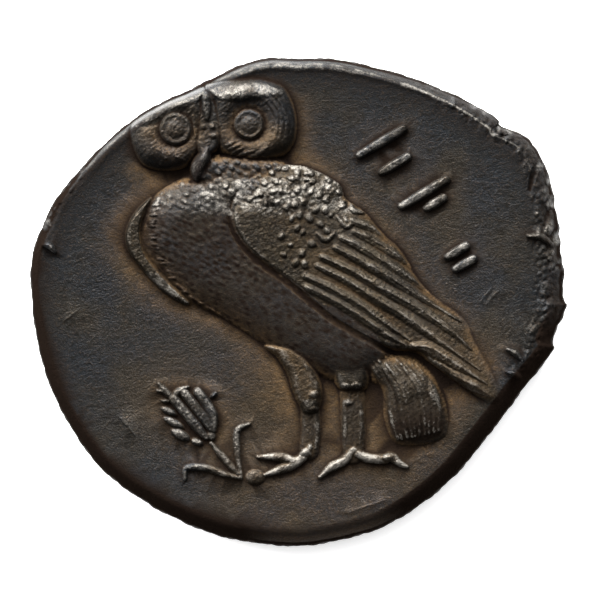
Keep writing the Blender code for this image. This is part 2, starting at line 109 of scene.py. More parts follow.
cell_ticks = np.linspace(-1, 1, FACE_CELLS + 1)
net_across, net_up = np.meshgrid(cell_ticks, cell_ticks, indexing="ij")
disc_x = net_across * np.sqrt(1 - net_up**2 / 2)
disc_y = net_up * np.sqrt(1 - net_across**2 / 2)
round_share = np.minimum(np.hypot(disc_x, disc_y), 1)
turn = np.arctan2(disc_y, disc_x)


def raggedness(angle):
    """How torn the edge is: smooth nearly all round, ragged at the right side."""
    return np.exp(-(((angle - 0.12) / 0.42) ** 4))


def edge_nibbles(angle):
    """Small unevenness of the hammered edge, stronger where it is ragged."""
    uneven = np.sin(angle * 23 + 1) + 0.7 * np.sin(angle * 41 + 2.2)
    torn = np.sin(angle * 67 + 0.4) + np.sin(angle * 111 + 2)
    return 0.4 * uneven + raggedness(angle) * (uneven + torn)


radius = np.interp(turn, flan_turns, flan_radii, period=2 * math.pi) - SIDE_BULGE
radius = radius + NIBBLE_DEPTH * edge_nibbles(turn)
place_x = radius * round_share * np.cos(turn)
place_y = radius * round_share * np.sin(turn)
from_edge = radius * (1 - round_share)
x = (place_x / STEP).ravel()
y = (place_y / STEP).ravel()


def nearest(line, x, y):
    """For every place, its distance from a line and how far along the line that is."""
    best = np.full(x.shape, np.inf)
    along = np.zeros(x.shape)
    for number, ((ax, ay), (bx, by)) in enumerate(zip(line[:-1], line[1:])):
        dx = bx - ax
        dy = by - ay
        t = np.clip(((x - ax) * dx + (y - ay) * dy) / (dx * dx + dy * dy), 0, 1)
        apart = (x - ax - t * dx) ** 2 + (y - ay - t * dy) ** 2
        closer = apart < best
        best = np.where(closer, apart, best)
        along = np.where(closer, number + t, along)
    return np.sqrt(best), along / (len(line) - 1)


def inside(line, x, y):
    """Which places lie inside a closed line."""
    odd = np.zeros(x.shape, bool)
    for (ax, ay), (bx, by) in zip(line, np.roll(line, -1, axis=0)):
        if ay != by:
            odd ^= ((ay > y) != (by > y)) & (x < ax + (y - ay) * (bx - ax) / (by - ay))
    return odd


def swell(share):
    """A rounded rise from 0 at an edge to 1 where share reaches 1."""
    return np.sin(np.clip(share, 0, 1) * math.pi / 2) ** 0.8


def around(line, reach):
    """Which places of the face lie in the box around a line, widened by reach."""
    low = line.min(axis=0) - reach
    high = line.max(axis=0) + reach
    return (x > low[0]) & (x < high[0]) & (y > low[1]) & (y < high[1])


def pillow(points, rise, roll):
    """A swollen shape inside a closed outline, full height at the distance roll from its edge."""
    line = smooth_line(points, closed=True)
    height = np.zeros(x.shape)
    near = around(line, 0)
    apart, _ = nearest(np.vstack([line, line[:1]]), x[near], y[near])
    height[near] = np.where(inside(line, x[near], y[near]), rise * swell(apart / roll), 0)
    return height


def ridge(points, rise, width, ends=(0.5, 0.5), fullness=2):
    """A rounded ridge along a line, narrowed at its two ends to the given shares."""
    line = smooth_line(points)
    height = np.zeros(x.shape)
    near = around(line, width)
    apart, along = nearest(line, x[near], y[near])
    share = np.interp(along, (0, 0.35, 0.65, 1), (ends[0], 1, 1, ends[1]))
    height[near] = rise * np.sqrt(share * np.clip(1 - (apart / (width * share)) ** fullness, 0, 1))
    return height


def grain(middle, length, width, lean, rise):
    """A rounded oval of half-length and half-width, leaning by an angle in degrees."""
    lean = math.radians(lean)
    height = np.zeros(x.shape)
    reach = max(length, width)
    near = (np.abs(x - middle[0]) < reach) & (np.abs(y - middle[1]) < reach)
    dx = x[near] - middle[0]
    dy = y[near] - middle[1]
    along = (dx * math.cos(lean) + dy * math.sin(lean)) / length
    across = (dy * math.cos(lean) - dx * math.sin(lean)) / width
    height[near] = rise * np.sqrt(np.clip(1 - along**2 - across**2, 0, 1))
    return height


def highest(shapes):
    """The highest of several shapes at every place."""
    return np.maximum.reduce(list(shapes))


def ramp(value, start, length, least=0, most=1):
    """A share that grows from 0 at start to 1 one length further on, held between two limits."""
    return np.clip((value - start) / length, least, most)


def beside(value, middle, width, power=4):
    """A share that is 1 at a middle value and falls away past a width."""
    return np.exp(-(((value - middle) / width) ** power))


def chance(a, b, seed):
    """An even spread of numbers from 0 to 1 that is the same each time."""
    mixed = np.sin(a * 12.9898 + b * 78.233 + seed * 37.719) * 43758.5453
    return mixed - np.floor(mixed)


def strewn(pitch, stretch, lean, seed):
    """Small uneven strokes cut beside each other, from 0 to 1 in height."""
    lean = math.radians(lean)
    a = (x * math.cos(lean) + y * math.sin(lean)) / (pitch * stretch)
    b = (y * math.cos(lean) - x * math.sin(lean)) / pitch
    height = np.zeros(x.shape)
    for to_a in (-1, 0, 1):
        for to_b in (-1, 0, 1):
            cell_a = np.floor(a) + to_a
            cell_b = np.floor(b) + to_b
            middle_a = cell_a + 0.5 + 0.8 * (chance(cell_a, cell_b, seed) - 0.5) + 0.5 * (cell_b % 2)
            middle_b = cell_b + 0.5 + 0.6 * (chance(cell_a, cell_b, seed + 1) - 0.5)
            apart = ((a - middle_a) / 0.48) ** 2 + ((b - middle_b) / 0.42) ** 2
            strength = 0.35 + 0.65 * chance(cell_a, cell_b, seed + 2)
            height = np.maximum(height, strength * np.sqrt(np.clip(1 - apart, 0, 1)))
    return height


# The owl's body: breast and belly in one swollen form, covered in short cut strokes
BODY_RISE = 0.00042
BODY_ROLL = 105
BODY = [
    (-386, 354), (-428, 324), (-460, 282), (-476, 222), (-470, 156), (-430, 96), (-380, 45),
    (-326, -3), (-230, -48), (-122, -117), (-50, -165), (34, -210), (140, -249), (220, -228),
    (280, -174), (304, -84), (184, 66), (94, 231), (4, 366), (-110, 420), (-236, 426),
    (-326, 384),
]
NECK_RISE = 0.00030
NECK_ROLL = 40
NECK = [
    (-320, 396), (-278, 444), (-110, 444), (-32, 420), (-2, 366), (-86, 312), (-230, 300), (-308, 318),
]
DOWN_RISE = 0.000030
THROAT_RISE = 0.000050
MARGIN = [
    (-424, 306), (-436, 261), (-440, 210), (-424, 150), (-388, 81), (-332, 21), (-254, -30),
    (-160, -87),
]
MARGIN_DASHES = 32
DASH_RISE = 0.000060
TUFT_RISE = 0.000034
body = np.maximum(pillow(BODY, BODY_RISE, BODY_ROLL), pillow(NECK, NECK_RISE, NECK_ROLL))
on_body = np.clip(body / (0.3 * BODY_RISE), 0, 1)
to_throat = np.clip((y - 230) / 90, 0, 1)
to_belly = np.clip(0.9 - (x + 430) / 260, 0.35, 1) * np.clip((y + 170) / 200, 0.4, 1)
down = DOWN_RISE * strewn(17, 1.5, -25, 3) * to_belly
down = down + THROAT_RISE * strewn(21, 1.15, -35, 8) * to_throat
margin = smooth_line(MARGIN)
margin_steps = np.linspace(0, len(margin) - 1, MARGIN_DASHES)
dashes = []
for number, place in enumerate(margin_steps):
    lean = 12 - 50 * number / MARGIN_DASHES + 30 * (chance(number, 2, 7) - 0.5)
    dashes.append(grain(margin[int(place)], 13, 5.5, lean, DASH_RISE * (0.5 + chance(number, 4, 7))))
upper_breast = np.clip((y + 40) / 120, 0.35, 1)
tufts = TUFT_RISE * upper_breast * np.clip(strewn(17, 1.3, -25, 83) - 0.25, 0, 1)
body = body + on_body * highest([down, highest(dashes), tufts])

# The far wing's edge in front of the breast: a smooth raised crescent
FAR_WING_RISE = 0.00020
FAR_WING_ROLL = 14
FAR_WING = [
    (-440, 315), (-478, 288), (-508, 246), (-522, 198), (-512, 150), (-477, 102), (-438, 57),
    (-398, 21), (-338, -12), (-328, 6), (-376, 54), (-422, 102), (-458, 153), (-470, 219), (-454, 270),
]
far_wing = pillow(FAR_WING, FAR_WING_RISE, FAR_WING_ROLL)

# The tail below the wing, a fan of fine lines with fluffy feathers where it begins
TAIL_RISE = 0.00030
TAIL_ROLL = 80
TAIL = [
    (248, -264), (256, -354), (286, -420), (350, -432), (418, -417), (448, -384), (446, -312),
    (418, -234), (364, -174), (290, -150), (220, -144), (190, -180), (208, -234),
]
TAIL_LINE_RISE = 0.000060
TAIL_LINE_WIDTH = 10
TAIL_LINES = 11
TAIL_LEFT = [(202, -174), (254, -270), (272, -354), (292, -414)]
TAIL_RIGHT = [(376, -192), (424, -252), (442, -318), (436, -384)]
TAIL_FLUFF_RISE = 0.00004
TAIL_BULGES = [((314, -267), 34, 44, 20), ((358, -249), 36, 44, 25), ((406, -273), 20, 44, 15)]
TAIL_BULGE_RISE = 0.00007
tail = pillow(TAIL, TAIL_RISE, TAIL_ROLL)
tail_lines = []
for number in range(TAIL_LINES):
    share = (number + 0.5 + 0.7 * (chance(number, 1, 5) - 0.5)) / TAIL_LINES
    line = (1 - share) * np.array(TAIL_LEFT) + share * np.array(TAIL_RIGHT)
    rise = TAIL_LINE_RISE * (0.25 + 0.8 * chance(number, 3, 5))
    tail_lines.append(ridge(line, rise, TAIL_LINE_WIDTH))
to_rump = np.clip((y - x * 0.3 + 300) / 60, 0, 1)
fluff = TAIL_FLUFF_RISE * (1 + to_rump) * strewn(17, 2.2, -50, 5) * (0.3 + 0.7 * to_rump)
bulges = TAIL_BULGE_RISE * highest(grain(*one, 1) for one in TAIL_BULGES) ** 2
feathers = highest(tail_lines) * (1 - 0.6 * to_rump) + fluff + bulges
tail = tail + np.clip(tail / (0.5 * TAIL_RISE), 0, 1) * feathers

# Thighs, shanks and toes
THIGH_RISE = 0.00027
THIGH_ROLL = 32
LEFT_THIGH = [
    (-104, -129), (-68, -168), (-38, -216), (-22, -264), (-4, -306), (14, -339), (40, -345),
    (64, -324), (74, -276), (64, -222), (34, -162), (-26, -120),
]
RIGHT_THIGH = [
    (82, -168), (100, -228), (122, -264), (160, -273), (202, -264), (218, -216), (208, -150),
    (140, -132),
]
SHANK_RISE = 0.00011
SHANK_WIDTHS = (30, 38)
LEFT_SHANK = [(34, -318), (38, -384), (32, -444)]
RIGHT_SHANK = [(160, -252), (164, -354), (164, -456)]
SINEWS = [
    [(46, -324), (56, -384), (52, -438)], [(178, -282), (190, -339), (184, -426)],
    [(136, -294), (140, -354), (136, -438)],
]
SINEW_RISE = 0.000030
SINEW_WIDTH = 9
KNOT_RISE = 0.00006
TOE_RISE = 0.00015
TOE_WIDTH = 16
TOES = [
    [(34, -435), (-4, -477), (-56, -465), (-122, -465)],
    [(28, -450), (-8, -483), (-52, -501), (-100, -519)],
    [(166, -444), (134, -477), (100, -495), (64, -525)],
    [(166, -450), (208, -468), (254, -471), (278, -465), (302, -483), (326, -495)],
]
KNOTS = [(46, -276), (52, -324), (140, -255), (172, -252), (148, -300), (268, -465), (16, -450)]
thighs = highest(pillow(points, THIGH_RISE, THIGH_ROLL) for points in (LEFT_THIGH, RIGHT_THIGH))
thighs = thighs + np.clip(thighs / THIGH_RISE, 0, 1) * 0.3 * DOWN_RISE * strewn(18, 2, -60, 11)
left_shank = ridge(LEFT_SHANK, SHANK_RISE, SHANK_WIDTHS[0], ends=(1, 1))
right_shank = ridge(RIGHT_SHANK, SHANK_RISE, SHANK_WIDTHS[1], ends=(1, 0.8))
toes = highest(ridge(points, TOE_RISE, TOE_WIDTH, ends=(1, 0.4)) for points in TOES)
shanks = np.maximum(left_shank, right_shank)
shanks = shanks + np.clip(shanks / SHANK_RISE, 0, 1) * 0.5 * DOWN_RISE * strewn(13, 2.5, 80, 12)
legs = highest([thighs, shanks, toes])
on_legs = np.clip(legs / (0.5 * TOE_RISE), 0, 1)
sinews = highest(ridge(points, SINEW_RISE, SINEW_WIDTH) for points in SINEWS)
knots = KNOT_RISE * highest(grain(middle, 19, 12, 0, 1) for middle in KNOTS) ** 2
legs = legs + on_legs * np.maximum(sinews, knots)

# The near wing: a smooth shoulder, small round feathers above it and long quills down to the tip
WING_RISE = 0.00052
WING_TIP_RISE = 0.00026
WING_FRONT = [
    (-182, 333), (-204, 288), (-207, 246), (-194, 204), (-160, 156), (-110, 111), (-38, 60),
    (56, -18), (110, -60), (232, -129), (284, -148), (350, -153), (386, -177), (458, -231),
    (530, -282), (584, -312),
]
WING_BACK = [
    (-182, 333), (-140, 375), (-92, 402), (-26, 412), (40, 399), (122, 354), (140, 312),
    (202, 267), (260, 201), (310, 156), (382, 42), (494, -45), (532, -120), (584, -216),
    (608, -285), (584, -312),
]
SHOULDER = (-116, 261)
FRONT_ROLL = 22
BACK_ROLL = 120
BACK_STEP = 0.25
BLUNT_PART = 0.32
CUT_DEPTH = 0.00008
GROOVE_WIDTH = 12
QUILL_RISE = 0.00008
QUILL_WIDTH = 19
QUILL_ENDS = (0.6, 0.15)
QUILLS = [
    [(160, 243), (220, 225), (262, 198), (304, 165)],
    [(170, 210), (220, 189), (290, 147), (352, 96)],
    [(130, 192), (184, 168), (260, 120), (350, 63), (440, 0)],
    [(112, 162), (190, 123), (274, 75), (364, 18), (490, -60)],
    [(70, 135), (154, 96), (260, 36), (350, -12), (454, -84), (520, -144)],
    [(58, 108), (154, 60), (238, 6), (320, -42), (424, -117), (544, -204)],
    [(20, 78), (94, 42), (184, -9), (256, -60), (334, -114)],
    [(26, 45), (110, 3), (190, -45), (260, -93), (320, -129)],
    [(344, -132), (394, -138), (484, -192), (566, -246)],
    [(388, -177), (470, -225), (530, -252), (574, -282)],
]
VEIN_RISE = 0.00002
VEIN_WIDTH = 5
BEAD_RISE = 0.00007
BEAD_RADIUS = 11.5
BEAD_PITCH = 28
BEAD_ROWS = [
    [(-158, 366), (-40, 399), (86, 366)],
    [(-176, 336), (-26, 372), (118, 327)],
    [(-154, 309), (-8, 342), (128, 288)],
    [(-104, 297), (16, 294), (142, 246)],
    [(-32, 279), (34, 252), (86, 210)],
    [(-26, 246), (4, 213), (34, 177)],
    [(-44, 192), (-20, 165), (16, 147)],
    [(-40, 144), (-10, 117), (16, 111)],
]
SCALE_TIPS = [[(56, 204), (80, 186), (106, 204)], [(116, 255), (142, 228), (166, 240)],
              [(156, 294), (166, 276), (196, 267)]]
TIP_WIDTH = 10
front_line = smooth_line(WING_FRONT)
back_line = smooth_line(WING_BACK)
wing_edge = np.vstack([back_line, front_line[::-1][1:-1]])
near = around(wing_edge, 0)
from_front, _ = nearest(front_line, x[near], y[near])
from_back, _ = nearest(back_line, x[near], y[near])
within = inside(wing_edge, x[near], y[near])
shoulder = np.array(SHOULDER)
axis = np.array(WING_FRONT[-1]) - shoulder
along_wing = ((x[near] - shoulder[0]) * axis[0] + (y[near] - shoulder[1]) * axis[1]) / axis.dot(axis)
wing_rise = WING_RISE + (WING_TIP_RISE - WING_RISE) * np.clip(along_wing, 0, 1)
to_back = np.clip(from_back / BACK_ROLL, 0, 1)
blunt = np.clip(1 - along_wing / BLUNT_PART, 0, 1)
back_fall = blunt * swell(to_back + BACK_STEP) + (1 - blunt) * to_back * (2 - to_back)
fall = swell(from_front / FRONT_ROLL) * back_fall
wing = np.zeros(x.shape)
wing[near] = np.where(within, wing_rise * fall, 0)
on_wing = np.clip(wing / (0.25 * WING_TIP_RISE), 0, 1)
quills = highest(ridge(points, QUILL_RISE, QUILL_WIDTH, QUILL_ENDS) for points in QUILLS)
quills = quills**1.5 / QUILL_RISE**0.5
veins = highest(ridge(points, VEIN_RISE, VEIN_WIDTH) for points in QUILLS)
chased = 0.6 * VEIN_RISE * strewn(12, 4, -36, 23) * (quills > 0)
tips = highest(ridge(points, BEAD_RISE, TIP_WIDTH) for points in SCALE_TIPS)
beads = []
for row, points in enumerate(BEAD_ROWS):
    line = smooth_line(points)
    count = int(np.hypot(*np.diff(line, axis=0).T).sum() / BEAD_PITCH) + 1
    for number, place in enumerate(np.linspace(0, len(line) - 1, count)):
        jitter = 13 * np.array([chance(row, number, 1) - 0.5, chance(row, number, 2) - 0.5])
        size = BEAD_RADIUS * (0.7 + 0.5 * chance(row, number, 3))
        lean = 180 * chance(row, number, 4)
        beads.append(grain(line[int(place)] + jitter, 1.15 * size, 0.85 * size, lean, BEAD_RISE))
to_beads = np.clip((y - 250) / 60, 0, 1)
wing_detail = highest([quills + veins + chased, tips, highest(beads)])
wing_detail = wing_detail + 0.4 * BEAD_RISE * to_beads * strewn(15, 1, 20, 21)
wing = wing + on_wing * wing_detail

# The head: two lobes with a brow over each eye, the eyes in their hollows and the beak between
HEAD_RISE = 0.00046
HEAD_ROLL = 65
HEAD_LEFT = [
    (-496, 540), (-446, 576), (-368, 618), (-286, 648), (-262, 606), (-260, 516), (-278, 456),
    (-320, 411), (-368, 393), (-424, 393), (-470, 411), (-496, 453), (-506, 501),
]
HEAD_RIGHT = [
    (-284, 642), (-254, 658), (-176, 669), (-104, 669), (-46, 648), (-16, 600), (-3, 540), (-10, 480),
    (-40, 438), (-100, 412), (-164, 417), (-224, 432), (-260, 468), (-278, 546),
]
LEFT_EYE = (-368, 518)
RIGHT_EYE = (-148, 532)
EYE_HOLLOW = 0.00018
EYE_RISE = 0.00013
PUPIL_RISE = 0.00005
EYE_RADII = (49, 46)
PUPIL_RADII = (26, 25)
EYE_RING_RISE = 0.00003
EYE_RING_WIDTH = 6
EYE_RING_PLACE = 0.84
HOLLOW_RADIUS = 70
BROW_RISE = 0.00010
BROW_WIDTH = 38
CREST_WIDTH = 14
LEFT_BROW = [(-482, 540), (-440, 564), (-392, 588), (-344, 609), (-298, 621)]
RIGHT_BROW = [(-250, 624), (-190, 633), (-122, 642), (-58, 633)]
CREST = [(-284, 642), (-278, 612), (-274, 576), (-274, 549)]
BRIDGE_RISE = 0.00040
BRIDGE_ROLL = 22
BRIDGE = [
    (-298, 618), (-278, 636), (-248, 621), (-230, 570), (-220, 510), (-232, 462), (-260, 435),
    (-296, 432), (-316, 468), (-316, 522), (-308, 576),
]
BEAK_RISE = 0.00050
BEAK_ROLL = 26
BEAK = [
    (-268, 489), (-254, 462), (-256, 426), (-272, 393), (-286, 363), (-303, 352), (-320, 363),
    (-328, 390), (-326, 417), (-308, 447),
]
FACE_LINES = [
    [(-218, 468), (-194, 480)], [(-212, 456), (-176, 471)], [(-202, 441), (-166, 462)],
    [(-194, 432), (-136, 453)], [(-176, 420), (-118, 444)], [(-140, 426), (-92, 465)],
    [(-416, 456), (-398, 429)], [(-368, 435), (-338, 423)], [(-316, 558), (-310, 528), (-308, 492)],
]
FACE_LINE_RISE = 0.000035
FOREHEAD = [(-286, 524), (-258, 525), (-254, 498)]
DISC_RADII = (78, 92, 108, 124)
head = highest(pillow(points, HEAD_RISE, HEAD_ROLL) for points in (HEAD_LEFT, HEAD_RIGHT))
head = np.maximum(head, pillow(BRIDGE, BRIDGE_RISE, BRIDGE_ROLL))
on_head = np.clip(head / (0.5 * HEAD_RISE), 0, 1)
brows = highest(ridge(points, BROW_RISE, BROW_WIDTH) for points in (LEFT_BROW, RIGHT_BROW))
brows = brows**2 / BROW_RISE
on_face = np.maximum(brows, ridge(CREST, BROW_RISE, CREST_WIDTH))
for eye, ball, pupil in zip((LEFT_EYE, RIGHT_EYE), EYE_RADII, PUPIL_RADII):
    apart = np.hypot(x - eye[0], y - eye[1])
    on_face = on_face - EYE_HOLLOW * np.exp(-((apart / HOLLOW_RADIUS) ** 4))
    on_face = on_face + EYE_RISE * np.sqrt(np.clip(1 - (apart / ball) ** 3, 0, 1))
    on_face = on_face + PUPIL_RISE * np.sqrt(np.clip(1 - (apart / pupil) ** 2, 0, 1))
    ring = (apart - EYE_RING_PLACE * ball) / EYE_RING_WIDTH
    on_face = on_face + EYE_RING_RISE * np.exp(-(ring**2))
from_right_eye = np.hypot(x - RIGHT_EYE[0], y - RIGHT_EYE[1])
eye_angle = np.arctan2(y - RIGHT_EYE[1], x - RIGHT_EYE[0])
from_left_eye = np.hypot(x - LEFT_EYE[0], y - LEFT_EYE[1])
disc_window = np.clip(1 - np.abs(eye_angle - 0.35) / 0.8, 0, 1) ** 0.5
for disc in DISC_RADII:
    on_face = on_face - FACE_LINE_RISE * disc_window * np.exp(-(((from_right_eye - disc) / 4) ** 2))
on_face = on_face + highest(ridge(points, FACE_LINE_RISE, 6) for points in FACE_LINES)
on_face = on_face + highest(grain(middle, 10, 9, 0, 0.6 * BROW_RISE) for middle in FOREHEAD)
on_face = on_face + 0.5 * DOWN_RISE * strewn(11, 1.2, 40, 31)
beak = pillow(BEAK, BEAK_RISE, BEAK_ROLL)
head = np.maximum(head + on_head * on_face, beak)

groove = ridge(WING_FRONT, CUT_DEPTH, GROOVE_WIDTH, ends=(0.3, 0.3))
owl = highest([highest([body, far_wing, tail, legs]) - groove, wing, head, np.zeros(x.shape)])

# The ear of barley: grains, then stalk, leaves and bristles as thin lines
GRAIN_RISE = 0.00017
GRAIN_RISE_AT_BASE = 0.00012
GRAINS = [
    ((-388, -328), 27, 12, -24), ((-374, -362), 36, 13, -28), ((-354, -398), 33, 16, -28),
    ((-412, -268), 16, 7, -15), ((-400, -297), 14, 6, -5), ((-254, -279), 14, 8, 40),
    ((-262, -400), 15, 18, 0), ((-304, -420), 20, 12, -20),
]
LONG_GRAINS = [
    [(-374, -291), (-338, -333), (-304, -375), (-278, -405)],
    [(-340, -276), (-314, -309), (-284, -348), (-262, -384)],
    [(-302, -270), (-278, -303), (-256, -345), (-256, -384)],
]
LONG_GRAIN_WIDTH = 17
STALK_RISE = 0.00011
STALK_WIDTH = 12
STALKS = [
    [(-262, -423), (-232, -459), (-200, -495), (-172, -528)],
    [(-148, -366), (-176, -378), (-186, -402), (-182, -462), (-172, -525)],
    [(-340, -531), (-334, -498), (-274, -498), (-224, -516), (-172, -528)],
    [(-418, -246), (-398, -270), (-368, -297)],
    [(-382, -294), (-362, -270), (-332, -255)],
]
PEBBLE = ((-130, -525), 30, 24, 0)
grains = highest(grain(*one, GRAIN_RISE_AT_BASE) for one in GRAINS)
long_grains = highest(
    ridge(points, GRAIN_RISE, LONG_GRAIN_WIDTH, ends=(0.9, 0.6), fullness=3) for points in LONG_GRAINS
)
stalks = highest(ridge(points, STALK_RISE, STALK_WIDTH) for points in STALKS)
barley = highest([grains, long_grains, stalks, grain(*PEBBLE, STALK_RISE)])

# Rows of short raised strokes at the upper right
STROKE_RISE = 0.00018
STROKE_WIDTH = 15
WEAR_DEPTH = 0.000012
STROKES = [
    [(184, 441), (314, 519)], [(250, 390), (326, 435)], [(310, 288), (442, 366)],
    [(386, 282), (434, 312)], [(448, 135), (502, 168)], [(472, 99), (524, 129)],
]
strokes = highest(
    ridge(points, STROKE_RISE, STROKE_WIDTH, ends=(0.8, 0.9), fullness=4) for points in STROKES
)

# Marks of the hammer at the rim: cracks, and metal pushed up into small folds
CRACK_DEPTH = 0.00010
MARK_WIDTH = 11
CRACKS = [
    [(748, 432), (712, 396), (694, 336)], [(784, 291), (752, 270), (740, 228)],
    [(802, 120), (764, 96)], [(-716, 291), (-752, 222), (-788, 156)], [(614, 540), (596, 510)],
]
FOLDS = [
    [(688, 198), (728, 195), (764, 171)], [(626, -141), (650, -153), (668, -174)],
    [(626, -210), (646, -216), (664, -228)], [(-766, 171), (-746, 168), (-730, 150)],
    [(598, 525), (622, 504)],
]
SCRATCHES = [
    [(-698, -54), (-662, -24)], [(544, -3), (580, 42)], [(562, -9), (604, 39)],
    [(-536, -348), (-490, -399)], [(-140, 192), (-118, 219)], [(154, -630), (260, -594)],
]
SCRATCH_RISE = 0.000016
SCRATCH_WIDTH = 4.5
LUMP_RISE = 0.00009
cracks = highest(ridge(points, CRACK_DEPTH, MARK_WIDTH) for points in CRACKS)
scratches = highest(ridge(points, SCRATCH_RISE, SCRATCH_WIDTH) for points in SCRATCHES)
folds = highest(ridge(points, STROKE_RISE, MARK_WIDTH) for points in FOLDS)

# The whole upper face: a dished, slightly wavy field, the relief on it, and the rounded edge
relief = highest([owl, barley, strokes, folds, scratches])
uneven = strewn(12, 1.5, 33, 51) + 0.7 * strewn(7, 1.3, 70, 52)
rough_part = np.clip(relief / 0.00006, 0, 1) * np.where(head > np.maximum(body, wing), 0.35, 1)
relief = relief - WEAR_DEPTH * uneven * rough_part * (on_body * (body > wing) < 0.5)

field = FIELD_THICKNESS - FIELD_DISH * (1 - round_share.ravel() ** 2)
field = field + FIELD_WAVE * (np.sin(x / 130 + 1) * np.cos(y / 170) + np.sin(x / 310 - y / 240))
upper = np.clip(1.5 * np.sin(turn.ravel()) - 0.3, 0, 1)
lip = RIM_LIP * upper * np.exp(-(((from_edge.ravel() - RIM_LIP_INSET) / RIM_LIP_WIDTH) ** 2))
ticks = np.arange(len(EDGE_SHARES) + 1) * 2 * math.pi / len(EDGE_SHARES)
reach = EDGE_SLOPE * np.interp(turn.ravel() % (2 * math.pi), ticks, EDGE_SHARES + EDGE_SHARES[:1])
edge_fall = swell(from_edge.ravel() / reach)
flecked = raggedness(turn) + beside(turn, 0.74, 0.28) + 0.7 * beside(turn, 2.74, 0.17)
flecked = np.clip(flecked, 0, 1)
torn_band = flecked.ravel() * np.clip(1.7 - from_edge.ravel() / reach, 0, 1)
lumps = strewn(38, 1.5, 75, 41) + 0.6 * strewn(17, 1.2, 60, 42)
relief = relief + LUMP_RISE * torn_band * (lumps - 0.5)
top_of_band = (FIELD_THICKNESS + SIDE_BAND) / 2
face_height = top_of_band + (field + lip + relief - cracks - top_of_band) * edge_fall
face_height = face_height.reshape(turn.shape)

# The underside, which the picture doesn't show: a worn ear of barley inside a border line
UNDER_FIELD = 0.00010
UNDER_RISE = 0.00014
UNDER_EDGE_SLOPE = 0.00050
BORDER_RADIUS = 0.0062
BORDER_WIDTH = 0.00022
UNDER_EAR_LENGTH = 0.0062
half = UNDER_EAR_LENGTH / 2 / STEP
under_grains = [grain((0, 0), half, 0.28 * half, 90, 1.6 * UNDER_RISE)]
for row in range(6):
    for side in (-1, 1):
        middle = (side * 0.26 * half, (row - 2.2) * 0.3 * half)
        under_grains.append(grain(middle, 0.26 * half, 0.11 * half, 90 - side * 32, 1.3 * UNDER_RISE))
under_stalk = grain((0, -1.3 * half), 0.55 * half, 0.05 * half, 90, UNDER_RISE)
from_border = (np.hypot(x, y) * STEP - BORDER_RADIUS) / BORDER_WIDTH
border = 1.2 * UNDER_RISE * np.sqrt(np.clip(1 - from_border**2, 0, 1))
under = np.maximum(UNDER_FIELD - highest(under_grains + [under_stalk, border]), 0)
foot_of_band = (FIELD_THICKNESS - SIDE_BAND) / 2
under_fall = swell(from_edge.ravel() / UNDER_EDGE_SLOPE)
under_height = (foot_of_band + (under - foot_of_band) * under_fall).reshape(turn.shape)


# How worn and painted bright, how dark with patina and painted shade, how warm and how dirty each place
# of the face is, from the relief itself
def softened(heights, cells):
    """The same heights blurred over a number of cells."""
    spread_a = np.fft.fftfreq(heights.shape[0])[:, None]
    spread_b = np.fft.rfftfreq(heights.shape[1])[None, :]
    keep = np.exp(-2 * (math.pi * cells) ** 2 * (spread_a**2 + spread_b**2))
    return np.fft.irfft2(np.fft.rfft2(heights) * keep, s=heights.shape)


def laid_out(values):
    """A row of values for all places, laid out as the net of the face."""
    return values.reshape(turn.shape)


# The rim: a painted highlight line on its upper lip, painted shade on the band outside it, worn flecks
# and crumbs where it is torn
HIGHLIGHT_LINE_WIDTH = 0.00004
BAND_SOFTNESS = 0.00006
GLINT_WIDTH = 0.0001
CRUMB_WIDTH = 0.00022
reach = laid_out(reach)
lumps = laid_out(lumps)
upper_rim = ramp(np.sin(turn), 0.42, 0.2)
upper_right = ramp(np.sin(turn), -0.15, 0.25) * ramp(np.cos(turn), -0.09, 0.3)
lower_side = np.clip(0.4 - 1.6 * np.sin(turn + 0.2), 0, 1)
lower_left = beside(turn, -2.2, 0.75)
left_side = beside(np.abs(turn), 3.14, 0.45)
line_share = 0.5 + 0.35 * ramp(turn, 1.6, -0.9)
# A painted highlight along the lip, only on the upper side that faces the lamp
painted_rim_highlight = upper_rim * beside(from_edge, line_share * reach, HIGHLIGHT_LINE_WIDTH, 2)
# The band outside the lip is painted dark as shade, wider at the lower and left sides and lighter at the
# upper right
band_share = 0.85 + 0.1 * lower_side + 0.35 * lower_left + 0.45 * left_side
band_share = band_share * (1 - upper_rim) + (line_share - 0.2) * upper_rim
edge_band = ramp(band_share * reach - from_edge, 0, BAND_SOFTNESS)
band_dark = 0.95 - 0.35 * beside(turn, -1.45, 0.3) - 0.42 * upper_right
flecks = flecked * ramp(lumps, 0.6, 0.5) * ramp(turn, -0.06, 0.1)
# A painted highlight on the rim at the top
top_glint = beside(turn, 1.66, 0.2) * beside(from_edge, 0.7 * reach, GLINT_WIDTH, 2)
crumbs = beside(turn, 0.35, 0.42) * beside(from_edge, 1.05 * reach, CRUMB_WIDTH, 2)
crumbs = crumbs * ramp(lumps, 0.5, 0.3)

# How far each form is rubbed. A form counts where it stands up by more than a trace.
TRACE = 0.00002
LOW_FORM = 0.00003
SLIGHT_FORM = 0.00005
FULL_FORM = 0.0002
rubbed = ramp(y, 235, 60) * ramp(y, 430, -50, 0.4) * ramp(np.maximum(body, wing), 0, FULL_FORM)
rubbed = np.maximum(0.82 * rubbed, 0.95 * ramp(brows, 0, BROW_RISE))
dull = (body >= highest([wing, legs, tail, head])) & (body > far_wing)
rubbed = np.where(dull, 0.3, 0.6) * (1 - rubbed) + rubbed
rubbed = np.maximum(rubbed, np.where((barley > 2 * TRACE) | (strokes > 4 * TRACE), 0.7, 0))
rubbed = np.maximum(rubbed, np.where(toes > 0.5 * TOE_RISE, 1.4, 0))
face_disc = (head >= highest([body, wing])) & (head > TRACE) & (brows < 0.1 * BROW_RISE)
rubbed = np.where(face_disc, 0.35, rubbed)
rubbed = np.where((far_wing > body) & (far_wing > 0), np.where(y > 90, 0.3, 0.8), rubbed)
rubbed = laid_out(np.where((wing > body) & (y < 240), 0.55, rubbed))
